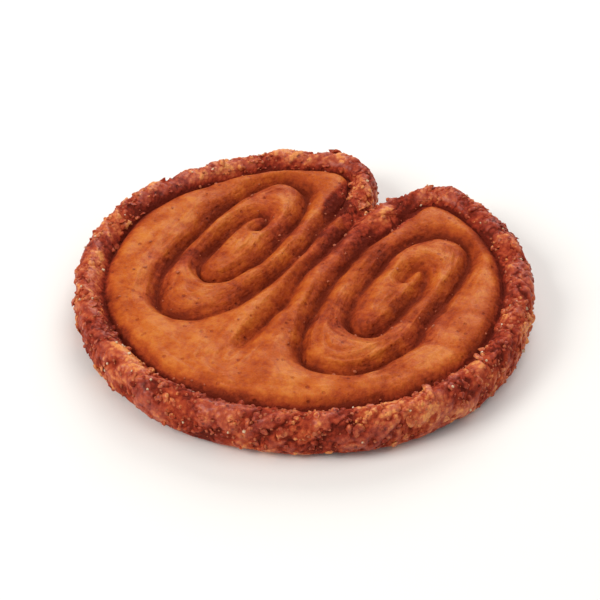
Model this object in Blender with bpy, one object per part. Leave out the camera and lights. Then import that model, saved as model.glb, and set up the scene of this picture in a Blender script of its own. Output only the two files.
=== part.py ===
"""A near-round palmier: one baked pastry, lying on its flat underside.

Metres, +Z up. The pastry lies on the plane z = 0 with the face that shows upwards. Its fold end
points to -Y, the cleft between its two lobes to +Y, and its width runs along X. The origin is the
middle of the underside.

The dough is one band rolled in from both sides. Seen from above, each half has one groove line,
which separates the turns: it runs beside the outline round the fold end, the side and the lobe,
comes back down beside the middle seam, and winds into the core as a flattened spiral. The seam
starts at the cleft and fades out before the fold end, where the dough is one smooth band. The
top is a height over that plan: full-round towards the outline, and dipping along the grooves.
"""

import math

import bmesh
import bpy
import numpy as np

MM = 0.001

# Driving dimensions
WIDTH = 81.0 * MM
THICKNESS = 8.6 * MM
HALF_HEIGHT = 4.3 * MM
RIM_WIDTH = 5.4 * MM
RIM_FULLNESS = 0.85
LOBE_DROP = 2.4 * MM
CLEFT_DEPTH = 12.5 * MM
CLEFT_SPREAD = math.radians(7.0)
CLEFT_TIP = math.radians(1.4)
CLEFT_SHARPNESS = 1.3
EDGE_WAVES = ((2, 0.0045, 0.6), (3, 0.0050, 2.1), (5, 0.0040, 4.0), (8, 0.0025, 1.1))

# Grooves between the turns, and the level of the face inside the rim
GROOVE_DEPTH = 2.2 * MM
GROOVE_SOFT = 1.5 * MM
GROOVE_CROWN = 2.0 * MM
GROOVE_BELL_SHARE = 0.55
GROOVE_STEP = 0.4 * MM
FACE_START = 4.3 * MM
FACE_DROP = 0.5 * MM
FACE_BULGE = 0.6 * MM
FACE_BULGE_REACH = 7.0 * MM
SEAM_SWAY = 0.9 * MM
SEAM_SWAY_LENGTH = 11.0 * MM
SEAM_FOOT = -27.0 * MM
SEAM_FADE = 9.0 * MM

# The spiral of one half: it starts beside the cleft and loses size with each half turn
EYE = (16.0 * MM, 4.0 * MM)
SPIRAL_HALF_WIDTH = 11.2 * MM
SPIRAL_HALF_LENGTH = 24.5 * MM
SPIRAL_WIDTH_LOSS = 2.65 * MM
SPIRAL_LENGTH_LOSS = 5.6 * MM
SPIRAL_SQUARENESS = 0.82
SPIRAL_TURN = (math.radians(150.0), math.radians(880.0))
SPIRAL_STEP = math.radians(12.0)
RIM_GROOVE_TURN = (math.radians(180.0), math.radians(11.0))
RIM_GROOVE_POINTS = 16
LEFT_HALF_STRETCH = 0.96

# Crust relief
CRAG_HEIGHT = 0.85 * MM
CRAG_SIZE = 3.4 * MM
FACE_RELIEF = 0.22 * MM
FACE_WAVE_SIZE = 7.0 * MM
THICKNESS_WAVE = 0.5 * MM
THICKNESS_WAVE_SIZE = 21.0 * MM
RELIEF_SEED = 41

# Mesh resolution; the points round the edge crowd where the edge bends
AROUND = 160
BEND_LENGTH = 3.0 * MM
RIM_RINGS_TOP = 7
FACE_RINGS = 21
RIM_RINGS_BOTTOM = 4
UNDERSIDE_RINGS = 1
UNDERSIDE_ROUND = 3.4 * MM
FIRST_FACE_SHARE = 0.03
SPINE_ENDS = (-20.0 * MM, 14.0 * MM)
GROOVE_PULL = 0.9
GROOVE_PULL_REACH = 0.8 * MM

CRUST_COLOUR = (0.42, 0.13, 0.045, 1.0)
CRUST_ROUGHNESS = 0.62


def clear_scene():
    """Remove every object that the file holds."""
    for item in list(bpy.data.objects):
        bpy.data.objects.remove(item, do_unlink=True)


def smooth_step(value):
    """Return 0 below 0, 1 above 1 and an even S between them."""
    held = np.clip(value, 0.0, 1.0)
    return held * held * (3.0 - 2.0 * held)


def soft_noise(points, size, seed):
    """Return smooth noise from -1 to 1, whose lumps are about `size` wide, at each point."""
    lattice = np.random.RandomState(seed).uniform(-1.0, 1.0, (32, 32, 32))
    scaled = points / size + 1000.0
    cell = np.floor(scaled).astype(int)
    part = smooth_step(scaled - cell)
    total = np.zeros(len(points))
    for corner in np.ndindex(2, 2, 2):
        index = (cell + np.array(corner)) % 32
        share = np.prod(np.where(np.array(corner) == 1, part, 1.0 - part), axis=1)
        total += share * lattice[index[:, 0], index[:, 1], index[:, 2]]
    return total


def outline(angle):
    """Return the plan's edge: `angle` is measured from the cleft, towards +X."""
    off_cleft = np.abs((angle + np.pi) % (2.0 * np.pi) - np.pi)
    radius = WIDTH / 2 - LOBE_DROP * (0.5 + 0.5 * np.cos(off_cleft)) ** 4
    for count, share, phase in EDGE_WAVES:
        radius = radius * (1.0 + share * np.sin(count * angle + phase))
    rounded = np.sqrt(off_cleft ** 2 + CLEFT_TIP ** 2) - CLEFT_TIP
    radius = radius - CLEFT_DEPTH * np.exp(-(rounded / CLEFT_SPREAD) ** CLEFT_SHARPNESS)
    return np.stack([radius * np.sin(angle), radius * np.cos(angle)], axis=1)


def inward(angle):
    """Return the unit directions from the outline into the pastry."""
    small = 0.004
    along = outline(angle + small) - outline(angle - small)
    along /= np.linalg.norm(along, axis=1)[:, None]
    return np.stack([along[:, 1], -along[:, 0]], axis=1)


def edge_angles(count):
    """Return angles round the edge, evenly spread along its length plus its bending."""
    angle = np.linspace(0.0, 2.0 * np.pi, 6001)
    edge, side = outline(angle), inward(angle)
    length = np.linalg.norm(np.diff(edge, axis=0), axis=1)
    bending = np.linalg.norm(np.diff(side, axis=0), axis=1)
    run = np.concatenate([[0.0], np.cumsum(length + BEND_LENGTH * bending)])
    half = count // 2
    middle = run[3000]
    wanted = np.concatenate([np.linspace(0.0, middle, half + 1)[:-1],
                             np.linspace(middle, run[-1], half + 1)[:-1]])
    return np.interp(wanted, run, angle)


def smooth_path(points, step):
    """Return a smooth curve through the points, with a point about every `step`."""
    points = np.asarray(points, dtype=float)
    lengths = np.linalg.norm(np.diff(points, axis=0), axis=1)
    knots = np.concatenate([[0.0], np.cumsum(lengths)])
    slopes = np.gradient(points, knots, axis=0)
    places = np.linspace(0.0, knots[-1], int(knots[-1] / step))
    index = np.clip(np.searchsorted(knots, places, side="right") - 1, 0, len(points) - 2)
    span = (knots[index + 1] - knots[index])[:, None]
    share = ((places - knots[index])[:, None]) / span
    square, cube = share ** 2, share ** 3
    return (
        (2 * cube - 3 * square + 1) * points[index]
        + (cube - 2 * square + share) * span * slopes[index]
        + (3 * square - 2 * cube) * points[index + 1]
        + (cube - square) * span * slopes[index + 1]
    )


def spiral():
    """Return the right half's inner groove: a flattened spiral about its eye."""
    turn = np.arange(SPIRAL_TURN[0], SPIRAL_TURN[1], SPIRAL_STEP)
    half_turns = turn / math.pi - 1.0
    half_width = SPIRAL_HALF_WIDTH - SPIRAL_WIDTH_LOSS * half_turns
    half_length = SPIRAL_HALF_LENGTH - SPIRAL_LENGTH_LOSS * (half_turns - 0.5)
    across, along = np.cos(turn), np.sin(turn)
    return np.stack([
        EYE[0] + half_width * np.sign(across) * np.abs(across) ** SPIRAL_SQUARENESS,
        EYE[1] + half_length * np.sign(along) * np.abs(along) ** SPIRAL_SQUARENESS,
    ], axis=1)


def groove_of_half(side):
    """Return one half's groove line, from the middle of the fold end round into the core."""
    angle = side * np.linspace(*RIM_GROOVE_TURN, RIM_GROOVE_POINTS)
    beside_edge = outline(angle) + RIM_WIDTH * inward(angle)
    stretch = side * (1.0 if side > 0 else LEFT_HALF_STRETCH)
    inner = spiral() * np.array([stretch, 1.0])
    return smooth_path(np.concatenate([beside_edge, inner]), GROOVE_STEP)


def seam_place(height):
    """Return the points of the seam at these heights in the plan: it sways below the cleft."""
    below = height - (WIDTH / 2 - CLEFT_DEPTH)
    return np.column_stack([SEAM_SWAY * np.sin(below / SEAM_SWAY_LENGTH), height])


def all_grooves():
    """Return the points of both halves' grooves and of the seam, and how open each is, to 1."""
    halves = np.concatenate([groove_of_half(1.0), groove_of_half(-1.0)])
    height = np.arange(WIDTH / 2 - CLEFT_DEPTH, SEAM_FOOT, -GROOVE_STEP)
    seam_open = smooth_step((height - SEAM_FOOT) / SEAM_FADE)
    line = np.concatenate([halves, seam_place(height)])
    return line, np.concatenate([np.ones(len(halves)), seam_open])


def nearest(plan):
    """Return each plan point's nearest groove point, the distance to it and how open it is."""
    gaps = ((plan[:, None, :] - GROOVES[None, :, :]) ** 2).sum(axis=2)
    closest = gaps.argmin(axis=1)
    return GROOVES[closest], np.sqrt(gaps[np.arange(len(plan)), closest]), GROOVE_OPEN[closest]


def drawn_to_grooves(plan):
    """Return the plan points, those near a groove drawn towards it so that it stays sharp."""
    target, gap, opened = nearest(plan)
    pull = GROOVE_PULL * opened * np.exp(-(gap / GROOVE_PULL_REACH) ** 2)
    return plan + (target - plan) * pull[:, None]


def groove_dip(gap):
    """Return a groove's share of its depth: a soft bell plus the crease of two round shoulders."""
    bell = np.exp(-(gap / GROOVE_SOFT) ** 2)
    inside = 1.0 - np.clip(gap / GROOVE_CROWN, 0.0, 1.0)
    crease = 1.0 - np.sqrt(np.clip(1.0 - inside ** 2, 0.0, 1.0))
    return GROOVE_BELL_SHARE * bell + (1.0 - GROOVE_BELL_SHARE) * crease


def face_height(plan, depth):
    """Return the top's height: level bands that bulge a little and dip to their grooves."""
    _, gap, opened = nearest(plan)
    flat = np.column_stack([plan, np.zeros(len(plan))])
    level = THICKNESS - FACE_DROP * smooth_step((depth - FACE_START) / RIM_WIDTH)
    level = level + FACE_BULGE * (smooth_step(gap / FACE_BULGE_REACH) - 0.5)
    level = level + THICKNESS_WAVE * soft_noise(flat, THICKNESS_WAVE_SIZE, RELIEF_SEED)
    level = level + FACE_RELIEF * soft_noise(flat, FACE_WAVE_SIZE, RELIEF_SEED + 1)
    return level - GROOVE_DEPTH * opened * groove_dip(gap)


def rim_ring(angle, turn):
    """Return a ring on the rim: `turn` goes from 0 at the edge over the crest to pi."""
    depth = RIM_WIDTH / 2 * (1.0 - math.cos(turn))
    plan = outline(angle) + depth * inward(angle)
    full = math.sin(min(turn, math.pi / 2)) ** RIM_FULLNESS
    top = face_height(plan, np.full(len(plan), depth))
    height = HALF_HEIGHT + (top - HALF_HEIGHT) * full
    ring = np.column_stack([plan, height])
    outward = np.column_stack([-inward(angle) * max(math.cos(turn), 0.0),
                               np.full(len(plan), math.sin(turn))])
    crag = soft_noise(ring, CRAG_SIZE, RELIEF_SEED + 2) + 0.5 * soft_noise(
        ring, CRAG_SIZE / 2, RELIEF_SEED + 3)
    return ring + outward * (CRAG_HEIGHT / 1.5) * crag[:, None]


def seam_targets(angle):
    """Return where each point round the edge ends up on the seam, from the cleft to the fold."""
    low, high = SPINE_ENDS
    share = 0.5 + 0.5 * np.cos(angle)
    return seam_place(low + (high - low) * share)


def face_ring(angle, share):
    """Return a ring on the face: `share` is 0 beside the rim and 1 on the seam."""
    start = outline(angle) + RIM_WIDTH * inward(angle)
    plan = drawn_to_grooves(start * (1.0 - share) + seam_targets(angle) * share)
    depth = np.full(len(plan), RIM_WIDTH + share * WIDTH / 2)
    return np.column_stack([plan, face_height(plan, depth)])


def underside_ring(angle, turn):
    """Return a ring round the lower edge: `turn` goes from 0 at the edge to pi / 2 below."""
    depth = UNDERSIDE_ROUND * (1.0 - math.cos(turn))
    plan = outline(angle) + depth * inward(angle)
    height = HALF_HEIGHT * (1.0 - math.sin(turn) ** RIM_FULLNESS)
    return np.column_stack([plan, np.full(len(plan), height)])


def all_rings(angle):
    """Return the rings from beside the seam, over the face and the rim, to the underside."""
    rings = []
    for share in np.linspace(1.0, FIRST_FACE_SHARE, FACE_RINGS + 1)[1:]:
        rings.append(face_ring(angle, share))
    for turn in np.linspace(math.pi, 0.0, RIM_RINGS_TOP + 1):
        rings.append(rim_ring(angle, turn))
    for turn in np.linspace(0.0, math.pi / 2, RIM_RINGS_BOTTOM + 1)[1:]:
        rings.append(underside_ring(angle, turn))
    lowest = rings[-1]
    middle = np.column_stack([seam_targets(angle), np.zeros(len(angle))])
    for share in np.linspace(0.0, 1.0, UNDERSIDE_RINGS + 2)[1:-1]:
        rings.append(lowest * (1.0 - share) + middle * share)
    return rings


def close_along_seam(mesh, loop, row):
    """Fill a ring with faces to a row of points on the seam, from the cleft to the fold end."""
    half = AROUND // 2
    line = [loop[0]] + row + [loop[half]]
    for here in range(half):
        right = [loop[here], loop[here + 1], line[here + 1], line[here]]
        left = [loop[-here], line[here], line[here + 1], loop[-here - 1]]
        for corners in (right, left):
            mesh.faces.new(list(dict.fromkeys(corners)))


def skin():
    """Return a bmesh of the rings joined in order and closed along the seam, above and below."""
    angle = edge_angles(AROUND)
    rings = all_rings(angle)
    on_seam = seam_targets(angle[1:AROUND // 2])
    inside = np.full(len(on_seam), WIDTH / 2)
    upper_row = np.column_stack([on_seam, face_height(on_seam, inside)])
    lower_row = np.column_stack([on_seam, np.zeros(len(on_seam))])
    points = np.concatenate(rings)
    middle = (points.min(axis=0) + points.max(axis=0)) / 2
    middle[2] = 0.0
    mesh = bmesh.new()
    loops = [[mesh.verts.new(point - middle) for point in ring] for ring in rings]
    for upper, lower in zip(loops[:-1], loops[1:]):
        for here in range(AROUND):
            mesh.faces.new((upper[here], upper[here - 1], lower[here - 1], lower[here]))
    for loop, row in ((loops[0], upper_row), (loops[-1], lower_row)):
        close_along_seam(mesh, loop, [mesh.verts.new(point - middle) for point in row])
    bmesh.ops.triangulate(mesh, faces=mesh.faces[:])
    bmesh.ops.recalc_face_normals(mesh, faces=mesh.faces[:])
    return mesh


def crust_material():
    """Return the browned crust's material."""
    material = bpy.data.materials.new("browned_crust")
    material.use_nodes = True
    shader = material.node_tree.nodes["Principled BSDF"]
    shader.inputs["Base Color"].default_value = CRUST_COLOUR
    shader.inputs["Roughness"].default_value = CRUST_ROUGHNESS
    shader.inputs["Metallic"].default_value = 0.0
    return material


def make_palmier():
    """Build the pastry as one object."""
    data = bpy.data.meshes.new("palmier")
    mesh = skin()
    mesh.to_mesh(data)
    mesh.free()
    data.shade_smooth()
    data.materials.append(crust_material())
    palmier = bpy.data.objects.new("palmier", data)
    bpy.context.scene.collection.objects.link(palmier)
    return palmier


GROOVES, GROOVE_OPEN = all_grooves()
clear_scene()
make_palmier()
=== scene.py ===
"""Looks of a near-round palmier: a rope-like sugared rim, a smooth face and two scrolls.

The pastry is a height over its plan, worked out as whole arrays. The rim, the face and the
underside are three closed pieces that meet inside their grooves, and sugar grains, crumbs and
flakes lie on them. Metres, +Z up; the fold end points to -Y and the cleft to +Y.
"""

import logging
import math
from dataclasses import dataclass, field
from enum import Enum
from functools import cached_property

import bmesh
import bpy
import numpy as np
from mathutils import Euler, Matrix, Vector


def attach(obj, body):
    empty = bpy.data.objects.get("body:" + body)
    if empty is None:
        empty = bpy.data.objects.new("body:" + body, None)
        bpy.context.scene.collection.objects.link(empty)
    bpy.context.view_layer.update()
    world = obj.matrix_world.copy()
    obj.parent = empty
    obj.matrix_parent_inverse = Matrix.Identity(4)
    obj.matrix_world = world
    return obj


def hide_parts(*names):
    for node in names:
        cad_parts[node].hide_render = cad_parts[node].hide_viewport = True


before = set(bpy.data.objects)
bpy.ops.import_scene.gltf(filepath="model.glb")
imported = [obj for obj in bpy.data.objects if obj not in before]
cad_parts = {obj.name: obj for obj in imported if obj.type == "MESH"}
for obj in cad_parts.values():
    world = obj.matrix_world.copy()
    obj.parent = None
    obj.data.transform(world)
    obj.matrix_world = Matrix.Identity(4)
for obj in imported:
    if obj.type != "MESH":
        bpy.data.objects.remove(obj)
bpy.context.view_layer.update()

logging.basicConfig(level=logging.INFO, format="%(message)s")
LOG = logging.getLogger("palmier")
MM = 0.001
FLOOR_GAP = 0.02 * MM
NOISE_CELLS = 32
GRAIN_CELLS = 24
NOISE_SHIFT = 1000.0
Array = np.ndarray
Stops = tuple[tuple[float, tuple[int, int, int]], ...]
NODE = "palmier"
BODY = "root"


def smooth_step(value: Array) -> Array:
    """Return 0 below 0, 1 above 1 and an even S between them."""
    held = np.clip(value, 0.0, 1.0)
    return held * held * (3.0 - 2.0 * held)


def soft_noise(points: Array, size: float, seed: int) -> Array:
    """Smooth noise: random values on a cubic lattice, blended by an S curve inside each cell.

    Args:
        points: places, one row of three each.
        size: the width of a lattice cell.
        seed: the seed of the lattice's values.

    Returns:
        One value from -1 to 1 for each place.
    """
    lattice = np.random.RandomState(seed).uniform(-1.0, 1.0, (NOISE_CELLS,) * 3)
    scaled = points / size + NOISE_SHIFT
    cell = np.floor(scaled).astype(int)
    part = smooth_step(scaled - cell)
    total = np.zeros(len(points))
    for corner in np.ndindex(2, 2, 2):
        index = (cell + np.array(corner)) % NOISE_CELLS
        share = np.prod(np.where(np.array(corner) == 1, part, 1.0 - part), axis=1)
        total += share * lattice[index[:, 0], index[:, 1], index[:, 2]]
    return total


def packed_grains(points: Array, size: float, seed: int) -> Array:
    """Rounded grains packed side by side: one seed point in each cell of a cubic lattice.

    The value is 1 at a seed point and falls with the square of the distance to the nearest one.

    Args:
        points: places, one row of three each.
        size: the width of a cell, and so of a grain.
        seed: the seed of the grains' places.

    Returns:
        One value from 0, between grains, to 1, on a grain's top, for each place.
    """
    jitter = np.random.RandomState(seed).uniform(0.1, 0.9, (GRAIN_CELLS,) * 3 + (3,))
    scaled = points / size + NOISE_SHIFT
    cell = np.floor(scaled).astype(int)
    nearest = np.full(len(points), 9.0)
    for corner in np.ndindex(3, 3, 3):
        there = cell + np.array(corner) - 1
        index = there % GRAIN_CELLS
        seed_point = there + jitter[index[:, 0], index[:, 1], index[:, 2]]
        nearest = np.minimum(nearest, ((scaled - seed_point) ** 2).sum(axis=1))
    return np.clip(1.0 - nearest / 0.8, 0.0, 1.0)


@dataclass(frozen=True)
class Fade:
    """A change from 0 at a start to 1 a reach further on, along an even S curve."""

    start: float
    reach: float

    def at(self, value: Array) -> Array:
        """Return the S curve of the value's distance past the start, counted in reaches."""
        return smooth_step((value - self.start) / self.reach)


@dataclass(frozen=True)
class Ripple:
    """One layer of soft noise: how strong it is, how wide its waves are, and its seed."""

    strength: float
    size: float
    seed: int

    def at(self, points: Array) -> Array:
        """Return the layer's value at each place: the strength times noise from -1 to 1."""
        return self.strength * soft_noise(points, self.size, self.seed)


@dataclass(frozen=True)
class Grains:
    """One layer of packed grains: how wide each is, and the layer's seed."""

    size: float
    seed: int

    def at(self, points: Array) -> Array:
        """Return the layer's value at each place: 0 between the grains and 1 on their tops."""
        return packed_grains(points, self.size, self.seed)


def on_plan(places: Array) -> Array:
    """Return places of the plan as points at height 0, for reading noise there."""
    return np.column_stack([places, np.zeros(len(places))])


def smooth_path(points: Array, step: float) -> Array:
    """A curve through points: cubic pieces whose slopes are the points' own central differences.

    Args:
        points: the places to pass, one row of two each.
        step: the distance between the points returned.

    Returns:
        The curve's points, evenly spread along it.
    """
    lengths = np.linalg.norm(np.diff(points, axis=0), axis=1)
    knots = np.concatenate([[0.0], np.cumsum(lengths)])
    slopes = np.gradient(points, knots, axis=0)
    places = np.linspace(0.0, knots[-1], int(knots[-1] / step))
    index = np.clip(np.searchsorted(knots, places, side="right") - 1, 0, len(points) - 2)
    span = (knots[index + 1] - knots[index])[:, None]
    share = (places - knots[index])[:, None] / span
    square, cube = share ** 2, share ** 3
    return (
        (2 * cube - 3 * square + 1) * points[index]
        + (cube - 2 * square + share) * span * slopes[index]
        + (3 * square - 2 * cube) * points[index + 1]
        + (cube - square) * span * slopes[index + 1]
    )


@dataclass(frozen=True)
class Plan:
    """The pastry seen from above: its edge, the seam and each half's groove line."""

    width: float = 81.0 * MM
    rim_width: float = 5.4 * MM
    lobe_drop: float = 2.4 * MM
    cleft_depth: float = 12.5 * MM
    cleft_spread: float = math.radians(7.0)
    cleft_tip: float = math.radians(1.4)
    cleft_sharpness: float = 1.3
    edge_waves: tuple[tuple[int, float, float], ...] = (
        (2, 0.0045, 0.6), (3, 0.0050, 2.1), (5, 0.0040, 4.0), (8, 0.0025, 1.1),
    )
    bend_length: float = 3.0 * MM
    seam_sway: float = 0.9 * MM
    seam_sway_length: float = 11.0 * MM
    seam_foot: float = -27.0 * MM
    seam_fade: float = 9.0 * MM
    seam_low: float = -20.0 * MM
    seam_high: float = 14.0 * MM
    left_stretch: float = 0.96
    groove_step: float = 0.16 * MM
    rim_groove_turn: tuple[float, float] = (math.radians(180.0), math.radians(11.0))
    rim_groove_points: int = 16
    eye: tuple[float, float] = (16.0 * MM, 4.0 * MM)
    half_width: float = 11.2 * MM
    half_length: float = 24.5 * MM
    width_loss: float = 2.65 * MM
    length_loss: float = 5.6 * MM
    squareness: float = 0.82
    spiral_turn: tuple[float, float] = (math.radians(150.0), math.radians(880.0))
    spiral_step: float = math.radians(12.0)

    def outline(self, angle: Array) -> Array:
        """The edge: a circle, lower over the lobes, with small waves and a narrow cleft.

        Args:
            angle: measured from the cleft towards +X.

        Returns:
            The edge's points, one row of two for each angle.
        """
        off_cleft = np.abs((angle + np.pi) % (2.0 * np.pi) - np.pi)
        radius = self.width / 2 - self.lobe_drop * (0.5 + 0.5 * np.cos(off_cleft)) ** 4
        for count, share, phase in self.edge_waves:
            radius = radius * (1.0 + share * np.sin(count * angle + phase))
        rounded = np.sqrt(off_cleft ** 2 + self.cleft_tip ** 2) - self.cleft_tip
        cut = np.exp(-(rounded / self.cleft_spread) ** self.cleft_sharpness)
        radius = radius - self.cleft_depth * cut
        return np.stack([radius * np.sin(angle), radius * np.cos(angle)], axis=-1)

    def inward(self, angle: Array) -> Array:
        """The unit directions from the edge into the pastry, square to the edge.

        Args:
            angle: measured from the cleft towards +X.

        Returns:
            One direction, a row of two, for each angle.
        """
        small = 0.004
        along = self.outline(angle + small) - self.outline(angle - small)
        along /= np.linalg.norm(along, axis=-1)[..., None]
        return np.stack([along[..., 1], -along[..., 0]], axis=-1)

    def angles(self, count: int) -> Array:
        """Angles round the edge, evenly spread along its length plus its bending.

        Args:
            count: how many angles, an even number.

        Returns:
            The angles, from the cleft towards +X, with one at the fold end halfway.
        """
        fine = np.linspace(0.0, 2.0 * np.pi, 12001)
        length = np.linalg.norm(np.diff(self.outline(fine), axis=0), axis=1)
        bending = np.linalg.norm(np.diff(self.inward(fine), axis=0), axis=1)
        run = np.concatenate([[0.0], np.cumsum(length + self.bend_length * bending)])
        middle = run[len(fine) // 2]
        wanted = np.concatenate([
            np.linspace(0.0, middle, count // 2, endpoint=False),
            np.linspace(middle, run[-1], count // 2, endpoint=False),
        ])
        return np.interp(wanted, run, fine)

    def seam_place(self, height: Array) -> Array:
        """Return the seam's points at these heights in the plan: it sways below the cleft."""
        below = height - (self.width / 2 - self.cleft_depth)
        return np.stack([self.seam_sway * np.sin(below / self.seam_sway_length), height], axis=-1)

    def seam_target(self, angle: Array) -> Array:
        """Return where the line inwards from each angle of the edge ends, on the seam."""
        share = 0.5 + 0.5 * np.cos(angle)
        return self.seam_place(self.seam_low + (self.seam_high - self.seam_low) * share)

    def spiral(self) -> Array:
        """The right half's inner groove: a flattened spiral that shrinks with each half turn.

        Returns:
            The spiral's points, from the outside in.
        """
        turn = np.arange(*self.spiral_turn, self.spiral_step)
        half_turns = turn / np.pi - 1.0
        wide = self.half_width - self.width_loss * half_turns
        long = self.half_length - self.length_loss * (half_turns - 0.5)
        across, along = np.cos(turn), np.sin(turn)
        return np.stack([
            self.eye[0] + wide * np.sign(across) * np.abs(across) ** self.squareness,
            self.eye[1] + long * np.sign(along) * np.abs(along) ** self.squareness,
        ], axis=1)

    def groove_of_half(self, side: float) -> Array:
        """One half's groove, from the fold end along the rim and into the core.

        Args:
            side: 1 for the right half and -1 for the left.

        Returns:
            The groove's points, evenly spread.
        """
        angle = side * np.linspace(*self.rim_groove_turn, self.rim_groove_points)
        beside_edge = self.outline(angle) + self.rim_width * self.inward(angle)
        stretch = side * (1.0 if side > 0 else self.left_stretch)
        inner = self.spiral() * np.array([stretch, 1.0])
        return smooth_path(np.concatenate([beside_edge, inner]), self.groove_step)

    @cached_property
    def grooves(self) -> tuple[Array, Array]:
        """Both grooves and the seam, which fades out before it reaches the fold end.

        Returns:
            Their points, and how open the groove is at each, 0 to 1.
        """
        height = np.arange(self.width / 2 - self.cleft_depth, self.seam_foot, -self.groove_step)
        halves = np.concatenate([self.groove_of_half(1.0), self.groove_of_half(-1.0)])
        seam_open = smooth_step((height - self.seam_foot) / self.seam_fade)
        line = np.concatenate([halves, self.seam_place(height)])
        return line, np.concatenate([np.ones(len(halves)), seam_open])

    @cached_property
    def middle(self) -> Array:
        """The middle of the edge's bounding rectangle, which becomes the origin."""
        edge = self.outline(self.angles(2000))
        return (edge.min(axis=0) + edge.max(axis=0)) / 2


@dataclass(frozen=True)
class Crust:
    """The rim's rough crust: lumps, streaks across the band, packed sugar grains and cracks.

    The strengths are in millimetres.
    """

    lumps: tuple[Ripple, ...] = (Ripple(0.46, 3.8 * MM, 43), Ripple(0.28, 1.9 * MM, 44))
    streaks: Ripple = Ripple(0.26, 1.5 * MM, 45)
    streak_slant: float = 0.9
    streak_stretch: float = 0.3
    patch: Ripple = Ripple(0.4, 5.5 * MM, 46)
    coarse: Grains = Grains(1.5 * MM, 47)
    coarse_height: float = 0.40
    fine: Grains = Grains(0.75 * MM, 48)
    fine_height: float = 0.38
    grain_level: float = 0.38
    tears: tuple[Ripple, ...] = (Ripple(1.0, 2.9 * MM, 49), Ripple(0.3, 0.9 * MM, 50))
    tear_width: float = 0.12
    torn_open: Ripple = Ripple(1.0, 6.0 * MM, 51)
    torn_share: float = 0.45
    crack_depth: float = 0.32
    level: float = 0.08
    rise_share: float = 0.78
    # These set the painted shade that darkens the colour in low places and cracks.
    shade_level: float = 0.5
    shade_slope: float = 0.62
    crack_shade: float = 0.30

    def at(self, points: Array, along: Array, across: Array, streaked: Array | float
           ) -> tuple[Array, Array]:
        """The crust: lumps, slanted streaks and two sizes of grain, less the cracks.

        A crack is where a noise is near 0. What stands out is pressed a little flatter.

        Args:
            points: places on the smooth form.
            along: how far round the rim each lies.
            across: how far over the rim's section each lies.
            streaked: how strong the streaks are there, 0 to 1.

        Returns:
            How far the crust stands out there, and how deep in a hollow or crack the place is, 0
            to 1, which the colour uses as painted shade.
        """
        lumps = sum(ripple.at(points) for ripple in self.lumps)
        slanted = on_plan(np.column_stack(
            [along + self.streak_slant * across, self.streak_stretch * across]))
        streaks = streaked * self.streaks.at(slanted)
        patch = 1.0 - self.patch.strength + self.patch.at(points)
        grains = patch * (self.coarse_height * self.coarse.at(points)
                          + self.fine_height * self.fine.at(points) - self.grain_level)
        tear = sum(ripple.at(points) for ripple in self.tears)
        open_here = smooth_step(self.torn_share + self.torn_open.at(points))
        crack = (1.0 - smooth_step(np.abs(tear) / self.tear_width)) * open_here
        rise = lumps + streaks + grains - self.crack_depth * crack - self.level
        # Painted shade and highlight: the colour darkens the lower a place lies and in cracks,
        # and turns golden where it stands out.
        shade_and_tone = self.shade_level - self.shade_slope * (rise + self.level)
        shade_and_tone = shade_and_tone + self.crack_shade * crack
        rise = np.where(rise > 0.0, self.rise_share * rise, rise)
        return rise * MM, np.clip(shade_and_tone, 0.0, 1.0)


@dataclass
class Spot:
    """What the plan says at each point.

    It holds the distances to the edge and to the nearest groove, and how open that groove is.
    """

    depth: Array
    gap: Array
    opened: Array


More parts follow.
